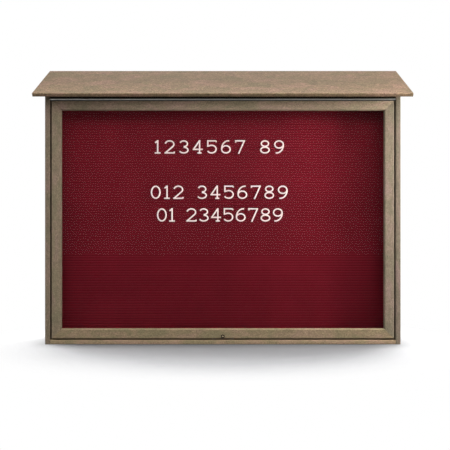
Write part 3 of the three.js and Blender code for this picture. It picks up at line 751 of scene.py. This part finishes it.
def screws(name, head, places, direction, body, material, *replaced):
    """One piece that holds a set of like screws, each turned a little differently."""
    master = screw_head(*head)
    shape = bmesh.new()
    for i, place in enumerate(places):
        turn = Matrix.Rotation(screw_turn * i, 4, "Z")
        stamp(shape, master, Matrix.Translation(place) @ facing(direction) @ turn)
    mesh = bpy.data.meshes.new(name)
    shape.to_mesh(mesh)
    shape.free()
    return new_piece(name, mesh, material, body, "steel", *replaced)


def hinge_leaf(name, node, side, first, material, body):
    """A piano hinge leaf: a plate, and a rolled knuckle on every other length of the pin."""
    low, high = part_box(node)
    pin = joint_place("door_hinge")
    outer = (high.z - low.z) / 2
    inner = outer - leaf_thickness
    count = 2 * round((high.x - low.x) / knuckle_length / 2)
    pitch = (high.x - low.x) / count
    shape = bmesh.new()
    block(shape, (low.x, leaf_setback, inner), (high.x, high.y - pin.y, outer))

    knuckle = bmesh.new()
    ends = (knuckle_gap / 2, pitch - knuckle_gap / 2)
    corners = [(ends[0], 0, inner), (ends[1], 0, inner), (ends[1], 0, outer), (ends[0], 0, outer)]
    start = knuckle.faces.new([knuckle.verts.new(corner) for corner in corners])
    tab = bmesh.ops.extrude_face_region(knuckle, geom=[start], use_keep_orig=True)["geom"]
    moved = [part for part in tab if isinstance(part, bmesh.types.BMVert)]
    bmesh.ops.translate(knuckle, verts=moved, vec=(0, leaf_setback, 0))
    knuckle.faces.remove(start)
    rim = [vert for vert in knuckle.verts if abs(vert.co.y) < weld_distance]
    geometry = rim + [edge for edge in knuckle.edges if all(vert in rim for vert in edge.verts)]
    rolled = bmesh.ops.spin(
        knuckle,
        geom=geometry,
        cent=(0, 0, 0),
        axis=(1, 0, 0),
        angle=curl_sweep,
        steps=curl_steps,
        use_duplicate=False,
    )["geom_last"]
    tip = [part for part in rolled if isinstance(part, bmesh.types.BMEdge)]
    bmesh.ops.edgeloop_fill(knuckle, edges=tip)
    master = finished_mesh(knuckle, "knuckle")
    for i in range(first, count, 2):
        stamp(shape, master, Matrix.Translation((low.x + i * pitch, 0, 0)))
    bmesh.ops.scale(shape, vec=(1, 1, side), verts=shape.verts)
    bmesh.ops.translate(shape, vec=(0, pin.y, pin.z), verts=shape.verts)
    piece = new_piece(name, finished_mesh(shape, name), material, body, "hinge", node)
    soft_edge(piece, metal_edge / 2, metal_edge_angle)
    return piece


def foam_strip(name, node, material):
    """A foam strip with rounded edges, in the space of its solid."""
    low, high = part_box(node)
    shape = bmesh.new()
    block(shape, low, high)
    bmesh.ops.bevel(
        shape,
        geom=shape.edges[:],
        offset=seal_crown,
        segments=seal_edge_steps,
        profile=0.5,
        affect="EDGES",
        material=-1,
    )
    piece = new_piece(name, finished_mesh(shape, name), material, "cabinet", "seal", node)


def arc(centre, reach, start, stop):
    """Points on an ellipse, from one angle in degrees to another."""
    points = []
    for step in range(arc_steps + 1):
        angle = math.radians(start + (stop - start) * step / arc_steps)
        points.append((centre[0] + reach[0] * math.cos(angle), centre[1] + reach[1] * math.sin(angle)))
    return points


def figure_strokes(figure):
    """The middle lines of a figure's strokes, in shares of its height, and its width."""
    half = stroke_share / 2
    wide = character_width_share
    left, right, foot, top = half, wide - half, half, 1 - half
    middle = wide / 2
    if figure == "0":
        return [arc((middle, 0.5), (middle - half, 0.5 - half), 0, 360)], wide
    if figure == "1":
        narrow = character_narrow_share
        stem = narrow / 2
        return [
            [(stem, 0), (stem, 1)],
            [(stem, top), (half / 2, 0.8)],
            [(0, foot), (narrow, foot)],
        ], narrow
    if figure == "2":
        bowl = arc((middle, 0.7), (middle - half, 0.3 - half), 168, -38)
        return [
            bowl + [(left, foot)],
            [(0, foot), (wide, foot)],
            [(right + half / 2, foot), (right + half / 2, foot + serif_share)],
        ], wide
    if figure == "3":
        return [
            arc((middle, 0.735), (middle - 0.09, 0.265 - half), 158, -90),
            arc((middle, 0.265), (middle - half, 0.265 - half), 90, -158),
        ], wide
    if figure == "4":
        stem = wide * 0.68
        return [
            [(stem, 1), (stem, 0)],
            [(stem, 1 - half / 2), (left, 0.32)],
            [(0, 0.32), (wide, 0.32)],
            [(stem - serif_share * 1.5, foot), (stem + serif_share * 1.5, foot)],
        ], wide
    if figure == "5":
        bowl = arc((middle - 0.02, 0.34), (middle - half + 0.02, 0.34 - half), 130, -150)
        return [
            [(left + 0.02, 1), (left + 0.02, bowl[0][1] - half)],
            bowl,
            [(left, top), (right, top)],
            [(right, top), (right, top - serif_share)],
        ], wide
    if figure in "69":
        strokes = [
            arc((middle, 0.32), (middle - half, 0.32 - half), 0, 360),
            arc((wide * 0.74, 0.36), (wide * 0.74 - half, 0.64 - half), 180, 82),
        ]
        if figure == "9":
            strokes = [[(wide - x, 1 - y) for x, y in stroke] for stroke in strokes]
        return strokes, wide
    if figure == "7":
        return [
            [(0, top), (wide, top)],
            [(left, top), (left, top - serif_share)],
            [(right, top), (wide * 0.36, 0)],
        ], wide
    return [
        arc((middle, 0.745), (middle - 0.1, 0.255 - half), 0, 360),
        arc((middle, 0.27), (middle - half, 0.27 - half), 0, 360),
    ], wide


def ink_across(figure, height):
    """Where a figure's strokes cross a height. Both are shares of the figure's height."""
    crossings = []
    for stroke in figure_strokes(figure)[0]:
        for (x0, y0), (x1, y1) in zip(stroke, stroke[1:]):
            if min(y0, y1) <= height <= max(y0, y1) and y0 != y1:
                crossings.append(x0 + (x1 - x0) * (height - y0) / (y1 - y0))
    return crossings


def stroke_section():
    """The flat, crowned section of a character's stroke, as a closed curve."""
    curve = bpy.data.curves.new("stroke_section", "CURVE")
    curve.dimensions = "2D"
    half = stroke_share * character_height / 2
    flat = character_thickness - character_crown
    crown = half * crown_width_share
    outline = [
        (-half, 0),
        (half, 0),
        (half, flat),
        (crown, character_thickness),
        (-crown, character_thickness),
        (-half, flat),
    ]
    spline = curve.splines.new("POLY")
    spline.points.add(len(outline) - 1)
    for point, (across, out) in zip(spline.points, outline):
        point.co = (across, out, 0, 1)
    spline.use_cyclic_u = True
    section = bpy.data.objects.new("stroke_section", curve)
    scene.collection.objects.link(section)
    return section


def figure_mesh(figure, section):
    """A figure's mesh in the XY plane, facing +Z, with its foot on the X axis."""
    strokes, width = figure_strokes(figure)
    curve = bpy.data.curves.new("figure", "CURVE")
    curve.dimensions = "3D"
    curve.twist_mode = "Z_UP"
    curve.bevel_mode = "OBJECT"
    curve.bevel_object = section
    curve.use_fill_caps = True
    for number, stroke in enumerate(strokes):
        closed = (Vector(stroke[0]) - Vector(stroke[-1])).length < stroke_share / 2
        points = stroke[:-1] if closed else stroke
        spline = curve.splines.new("POLY")
        spline.points.add(len(points) - 1)
        spline.use_cyclic_u = closed
        for point, (across, up) in zip(spline.points, points):
            point.co = (across * character_height, up * character_height, number * stroke_step, 1)
    drawn = bpy.data.objects.new("figure", curve)
    scene.collection.objects.link(drawn)
    bpy.context.view_layer.update()
    return applied(drawn), width * character_height


def characters(material):
    """Lines of plain figures, each with two rear tabs that sit in the board's grooves."""
    low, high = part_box("letterboard_face")
    rows = math.floor((high.z - low.z) / groove_pitch)
    first_groove = low.z + (high.z - low.z - (rows - 1) * groove_pitch) / 2
    section = stroke_section()
    masters = {}
    upright = Matrix.Rotation(math.pi / 2, 4, "X")
    stroke = stroke_share * character_height
    space = space_share * character_height
    for word, (text, groove, left, right) in character_lines.items():
        foot = first_groove + groove * groove_pitch + line_above_groove
        for figure in set(text) - {" "} - set(masters):
            masters[figure] = figure_mesh(figure, section)
        widths = [space if figure == " " else masters[figure][1] for figure in text]
        gap = (right - left - sum(widths)) / (len(text) - 1)
        across = left
        shape = bmesh.new()
        for figure, width in zip(text, widths):
            if figure != " ":
                place = Vector((across, low.y - character_stand, foot))
                stamp(shape, masters[figure][0], Matrix.Translation(place) @ upright)
                for step, pick in zip(tab_grooves, (max, min)):
                    height = step * groove_pitch - line_above_groove
                    middle = across + pick(ink_across(figure, height / character_height)) * character_height
                    block(
                        shape,
                        (middle - stroke / 2, low.y - character_stand, foot + height - tab_height / 2),
                        (middle + stroke / 2, low.y + tab_depth, foot + height + tab_height / 2),
                    )
            across += width + gap
        name = f"characters_{word}_line"
        mesh = bpy.data.meshes.new(name)
        shape.to_mesh(mesh)
        shape.free()
        new_piece(name, mesh, material, "cabinet", "characters")
    bpy.data.objects.remove(section)


def wall_screws():
    """Round heads in the outer faces of the side walls."""
    for side, outward in (("left", -1), ("right", 1)):
        names = [f"wall_screw_{place}_{side}" for place in ("sill_front", "sill_rear", "head", "cleat")]
        places = []
        for name in names:
            low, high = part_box(name)
            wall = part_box(f"side_wall_{side}")[0 if outward < 0 else 1].x
            places.append((wall, (low.y + high.y) / 2, (low.z + high.z) / 2))
        head = ((high.z - low.z) / 2, abs((high.x if outward > 0 else low.x) - wall))
        screws(f"wall_screws_{side}", head, places, (outward, 0, 0), "cabinet", steel, *names)


def hinge_screws():
    """Flush heads on the faces of the hinge's leaves that meet when the door is shut."""
    pin = joint_place("door_hinge")
    for body, side in (("cabinet", 1), ("door", -1)):
        low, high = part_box(f"hinge_leaf_{body}")
        face = pin.z + side * ((high.z - low.z) / 2 - leaf_thickness)
        end = hinge_screw_end_share * knuckle_length
        ends = (low.x + end, high.x - end)
        places = [(x, pin.y + hinge_screw_setback, face) for x in spaced(*ends, hinge_screw_spacing)]
        screws(f"hinge_screws_{body}", flush_head, places, (0, 0, -side), body, steel)


def door_screws():
    """Heads on the back of the door: in the glazing beads, the corner plates and the prop catches."""
    places = []
    for word in ("top", "bottom"):
        low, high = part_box(f"glazing_bead_{word}")
        z = high.z - bead_screw_setback if word == "top" else low.z + bead_screw_setback
        ends = (low.x + bead_screw_spacing / 2, high.x - bead_screw_spacing / 2)
        places += [(x, high.y, z) for x in spaced(*ends, bead_screw_spacing)]
    for word in ("left", "right"):
        low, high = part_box(f"glazing_bead_{word}")
        x = high.x - bead_screw_setback if word == "right" else low.x + bead_screw_setback
        ends = (low.z + bead_screw_spacing / 2, high.z - bead_screw_spacing / 2)
        places += [(x, high.y, z) for z in spaced(*ends, bead_screw_spacing)]
    screws("glazing_bead_screws", small_head, places, (0, 1, 0), "door", steel)

    places = []
    first = corner_screw_places[0]
    for end, inward_z in (("top", -1), ("bottom", 1)):
        for side, inward_x in (("left", 1), ("right", -1)):
            low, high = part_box(f"corner_plate_{end}_{side}")
            x = low.x if inward_x > 0 else high.x
            z = low.z if inward_z > 0 else high.z
            for along in corner_screw_places[1:]:
                places.append((x + inward_x * along, high.y, z + inward_z * first))
                places.append((x + inward_x * first, high.y, z + inward_z * along))
            places.append((x + inward_x * first, high.y, z + inward_z * first))
    screws("corner_plate_screws", plate_head, places, (0, 1, 0), "door", steel)

    for side, outward in (("left", -1), ("right", 1)):
        low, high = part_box(f"prop_catch_{side}")
        x = (high.x if outward > 0 else low.x) - outward * catch_screw_setback
        middle = (low.z + high.z) / 2
        back = low.y + catch_plate_thickness
        places = [(x, back, middle + reach) for reach in (-catch_screw_reach, catch_screw_reach)]
        screws(f"prop_catch_screws_{side}", catch_head, places, (0, 1, 0), "door", steel)


def drilled_panel(material):
    """The back panel, with its screws sunk below its outer face, along the boards that they hold."""
    low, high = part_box("back_panel")
    places = []
    for name in ("side_wall_left", "side_wall_right", "batten_left", "batten_centre", "batten_right"):
        start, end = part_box(name)
        ends = (start.z + panel_screw_setback, end.z - panel_screw_setback)
        places += [((start.x + end.x) / 2, high.y, z) for z in spaced(*ends, panel_screw_spacing)]
    for name in ("sill_board", "roof_cleat"):
        start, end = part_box(name)
        ends = (start.x + panel_screw_setback, end.x - panel_screw_setback)
        places += [(x, high.y, (start.z + end.z) / 2) for x in spaced(*ends, panel_screw_spacing)]
    shape = bmesh.new()
    block(shape, low, high)
    panel = temporary("panel_blank", finished_mesh(shape, "panel_blank"))
    cutter_shape = bmesh.new()
    for place in places:
        bmesh.ops.create_cone(
            cutter_shape,
            cap_ends=True,
            segments=sunk_steps,
            radius1=sunk_radius,
            radius2=sunk_radius,
            depth=2 * sunk_depth,
            matrix=Matrix.Translation(place) @ facing((0, 1, 0)),
        )
    cutter = temporary("panel_cutter", finished_mesh(cutter_shape, "panel_cutter"))
    cutting = panel.modifiers.new("holes", "BOOLEAN")
    cutting.operation = "DIFFERENCE"
    cutting.object = cutter
    cutting.solver = "EXACT"
    mesh = applied(panel)
    bpy.data.objects.remove(cutter)
    piece = new_piece("back_panel_drilled", mesh, material, "cabinet", "lumber", "back_panel")
    soft_edge(piece, board_edge, board_edge_angle)
    sunk = [(x, y - sunk_depth, z) for x, y, z in places]
    screws("back_panel_screws", panel_head, sunk, (0, 1, 0), "cabinet", steel)


def strike_screws():
    """Flush heads at the ends of the strike plate."""
    low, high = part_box("strike_plate")
    places = [(x, (low.y + high.y) / 2, high.z) for x in (-strike_screw_reach, strike_screw_reach)]
    screws("strike_plate_screws", flush_head, places, (0, 0, 1), "cabinet", steel)


scene.view_settings.view_transform = "Standard"
make_camera()
make_world()
make_lamps(make_floor())

along_x = 0
along_z = 2
# The roof's top face leans towards the front. Its sawn edges, the front lip and underside below the top face,
# are darkened with painted shade, and its top face is paler towards the front with painted light.
roof_slope = math.radians(33.2)
roof_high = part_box("roof_board")[1]
under_roof = Vector((0, math.sin(roof_slope), -math.cos(roof_slope)))
roof_face = under_roof.dot(Vector((0, roof_high.y, roof_high.z)))
roof_edge_start = 1.6 * mm
roof_painted_front_light = (0.74, 100 * mm)
roof_painted_shade = (0.64, under_roof, roof_face + roof_edge_start, painted_shade_fade)
# Painted shade: the top rail is black along its upper edge, in the shadow under the hinge's barrel, and darker
# to the left
rail_edge_width = 2 * mm
rail_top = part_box("door_rail_top")[1].z
rail_edge_painted_shade = (0.1, Vector((0, 0, 1)), rail_top - rail_edge_width, painted_shade_fade)
rail_left_painted_shade = (0.64, Vector((-1, 0, 0)), 100 * mm, 400 * mm)
# The left stile's chamfer faces away from the light, and painted shade darkens it
chamfer_width = 4 * mm
window_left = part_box("door_stile_left")[1].x
chamfer_painted_shade = (0.66, Vector((1, 0, 0)), window_left - chamfer_width, painted_shade_fade)
no_painted_front_light = (1, 0)
plain_tone = (1.0, 1.0, 1.0)
# Each board's grain, its tone in red, green and blue, and its painted front light, painted shades and mottle.
# The tones are partly painted light and shade, set to how brightly each board is lit.
lumber_boards = {
    "side_wall_left": (along_z, (0.71, 0.72, 0.79)),
    "side_wall_right": (along_z, (0.72, 0.75, 0.87)),
    "sill_board": (along_x, (1.09, 1.06, 1.02)),
    # Painted shade: the head board's front, in the shade under the roof, is painted nearly black
    "head_board": (along_x, (0.05, 0.045, 0.04)),
    "roof_cleat": (along_x, plain_tone),
    "back_panel": (along_x, plain_tone),
    "roof_board": (along_x, (1.02, 0.94, 0.9), roof_painted_front_light, [roof_painted_shade], 1.7),
    "stop_left": (along_z, plain_tone),
    "stop_right": (along_z, plain_tone),
    "stop_top": (along_x, plain_tone),
    "stop_bottom_left": (along_x, plain_tone),
    "stop_bottom_right": (along_x, plain_tone),
    "batten_left": (along_z, plain_tone),
    "batten_centre": (along_z, plain_tone),
    "batten_right": (along_z, plain_tone),
    "door_rail_top": (along_x, (1.21, 1.22, 1.3), no_painted_front_light, [rail_edge_painted_shade, rail_left_painted_shade]),
    "door_rail_bottom": (along_x, (0.95, 0.96, 0.91)),
    "door_stile_left": (along_z, (0.83, 0.86, 0.9), no_painted_front_light, [chamfer_painted_shade]),
    "door_stile_right": (along_z, (0.8, 0.84, 0.94)),
    "glazing_bead_top": (along_x, plain_tone),
    "glazing_bead_bottom": (along_x, plain_tone),
    "glazing_bead_left": (along_z, plain_tone),
    "glazing_bead_right": (along_z, plain_tone),
}
pattern_step = 1.7
for number, (name, (along, *settings)) in enumerate(lumber_boards.items()):
    start = (number * pattern_step, 0, -number * pattern_step)
    dress(name, lumber(f"lumber_{name}", along, start, *settings), board_edge, board_edge_angle)

steel = zinc_steel()
aluminium = mill_aluminium()
bronze = lock_bronze()
foam_skin = foam()
steel_nodes = [
    "hinge_pin",
    "strike_plate",
    "lock_nut",
    "lock_cam",
    "lock_cam_screw",
    *[f"corner_plate_{end}_{side}" for end in ("top", "bottom") for side in ("left", "right")],
    *[f"prop_{part}_{side}" for part in ("spacer", "bolt", "arm", "catch") for side in ("left", "right")],
]
for name in steel_nodes:
    dress(name, steel, metal_edge, metal_edge_angle)
for name in ("lock_barrel", "lock_plug"):
    dress(name, bronze, metal_edge, metal_edge_angle)
dress("letterboard_face", felt(), metal_edge, metal_edge_angle)
dress("letterboard_backing", plywood(), metal_edge, metal_edge_angle)
dress("window_pane", clear_pane(), metal_edge, metal_edge_angle)

hinge_leaf("piano_hinge_cabinet_leaf", "hinge_leaf_cabinet", 1, 0, aluminium, "cabinet")
hinge_leaf("piano_hinge_door_leaf", "hinge_leaf_door", -1, 1, aluminium, "door")
for name in ("left", "right", "top", "bottom_left", "bottom_right"):
    foam_strip(f"foam_seal_{name}", f"seal_{name}", foam_skin)
characters(character_plastic())
drilled_panel(nodes["back_panel"].data.materials[0])
wall_screws()
hinge_screws()
door_screws()
strike_screws()
